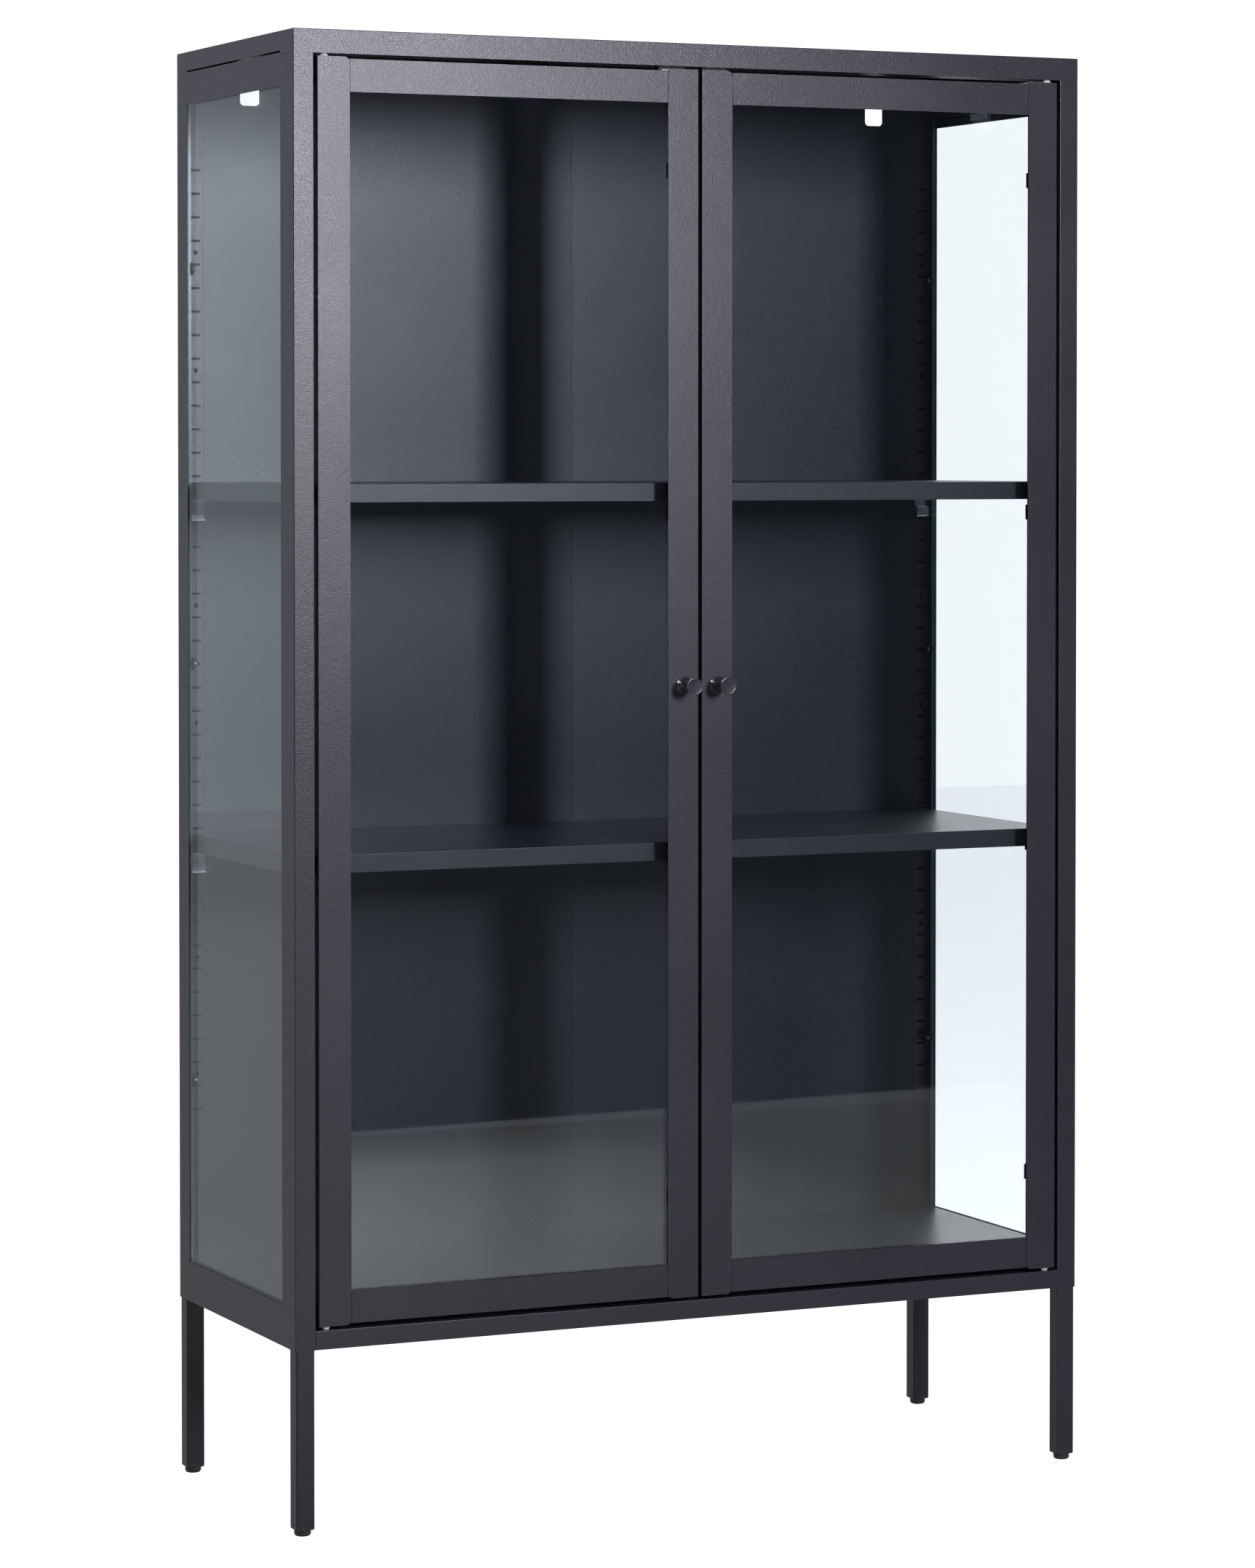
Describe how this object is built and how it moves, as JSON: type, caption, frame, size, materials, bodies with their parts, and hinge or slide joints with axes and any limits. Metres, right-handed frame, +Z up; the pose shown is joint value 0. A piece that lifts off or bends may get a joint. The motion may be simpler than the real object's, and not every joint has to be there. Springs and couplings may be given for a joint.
{
  "type": "glass-door display cabinet",
  "caption": "Freestanding folded-steel display cabinet with framed glass doors, glass sides, adjustable shelves and square tube legs.",
  "frame": {"origin": "on the floor, midway across the width and midway between the back and the faces of the knobs", "axes": "+Z up, doors face -Y, +X to the right of someone facing the doors"},
  "size_m": [0.9, 0.378, 1.515],
  "materials": {
    "painted_steel": "dark anthracite fine-texture powder coat, satin",
    "door_glass": "clear float glass, polished",
    "side_glass": "clear float glass with greenish edges",
    "knob_metal": "dark satin lacquered metal",
    "zinc": "bright zinc plate",
    "screw_steel": "plated steel, satin",
    "pin_steel": "ground steel",
    "magnet": "nickel-plated magnet",
    "white_nylon": "white moulded nylon",
    "black_plastic": "black moulded plastic",
    "clear_pad": "translucent soft plastic",
    "rubber": "black rubber"
  },
  "bodies": {
    "cabinet": {"back_panel_left": "painted_steel", "back_panel_right": "painted_steel", "back_screws": "screw_steel", "body_screws": "screw_steel", "catch_magnets": "magnet", "door_bumpers": "rubber", "door_catches": "black_plastic", "floor_panel": "painted_steel", "foot_front_left": "black_plastic", "foot_front_right": "black_plastic", "foot_rear_left": "black_plastic", "foot_rear_right": "black_plastic", "front_post_left": "painted_steel", "front_post_right": "painted_steel", "glass_clip_nuts": "screw_steel", "glass_clips_left": "black_plastic", "glass_clips_right": "black_plastic", "glass_top_pads": "clear_pad", "leg_front_left": "painted_steel", "leg_front_right": "painted_steel", "leg_rear_left": "painted_steel", "leg_rear_right": "painted_steel", "leg_studs": "screw_steel", "lower_shelf_clips": "zinc", "pivot_bushes": "white_nylon", "rear_post_left": "painted_steel", "rear_post_right": "painted_steel", "seam_screws": "screw_steel", "side_bottom_rail_left": "painted_steel", "side_bottom_rail_right": "painted_steel", "side_glass_left": "side_glass", "side_glass_right": "side_glass", "side_top_rail_left": "painted_steel", "side_top_rail_right": "painted_steel", "top_panel": "painted_steel", "upper_shelf_clips": "zinc"},
    "left_door": {"left_door_bottom_rail": "painted_steel", "left_door_glass": "door_glass", "left_door_glass_tabs": "painted_steel", "left_door_inner_stile": "painted_steel", "left_door_outer_stile": "painted_steel", "left_door_pins": "pin_steel", "left_door_seal": "rubber", "left_door_top_rail": "painted_steel", "left_knob": "knob_metal", "left_knob_screw": "screw_steel", "left_strike_plate": "zinc"},
    "right_door": {"right_door_bottom_rail": "painted_steel", "right_door_glass": "door_glass", "right_door_glass_tabs": "painted_steel", "right_door_inner_stile": "painted_steel", "right_door_outer_stile": "painted_steel", "right_door_pins": "pin_steel", "right_door_seal": "rubber", "right_door_top_rail": "painted_steel", "right_knob": "knob_metal", "right_knob_screw": "screw_steel", "right_strike_plate": "zinc"},
    "upper_shelf": {"upper_shelf": "painted_steel"},
    "lower_shelf": {"lower_shelf": "painted_steel"}
  },
  "joints": [
    {"name": "left_door_hinge", "type": "hinge", "parent": "cabinet", "child": "left_door", "pos_m": [-0.415, -0.154, 0.85], "axis": [0, 0, -1], "range_deg": [0, 110]},
    {"name": "right_door_hinge", "type": "hinge", "parent": "cabinet", "child": "right_door", "pos_m": [0.415, -0.154, 0.85], "axis": [0, 0, 1], "range_deg": [0, 110]},
    {"name": "upper_shelf_lift", "type": "slide", "parent": "cabinet", "child": "upper_shelf", "axis": [0, 0, 1], "range_m": [0, 0.025]},
    {"name": "lower_shelf_lift", "type": "slide", "parent": "cabinet", "child": "lower_shelf", "axis": [0, 0, 1], "range_m": [0, 0.025]}
  ]
}
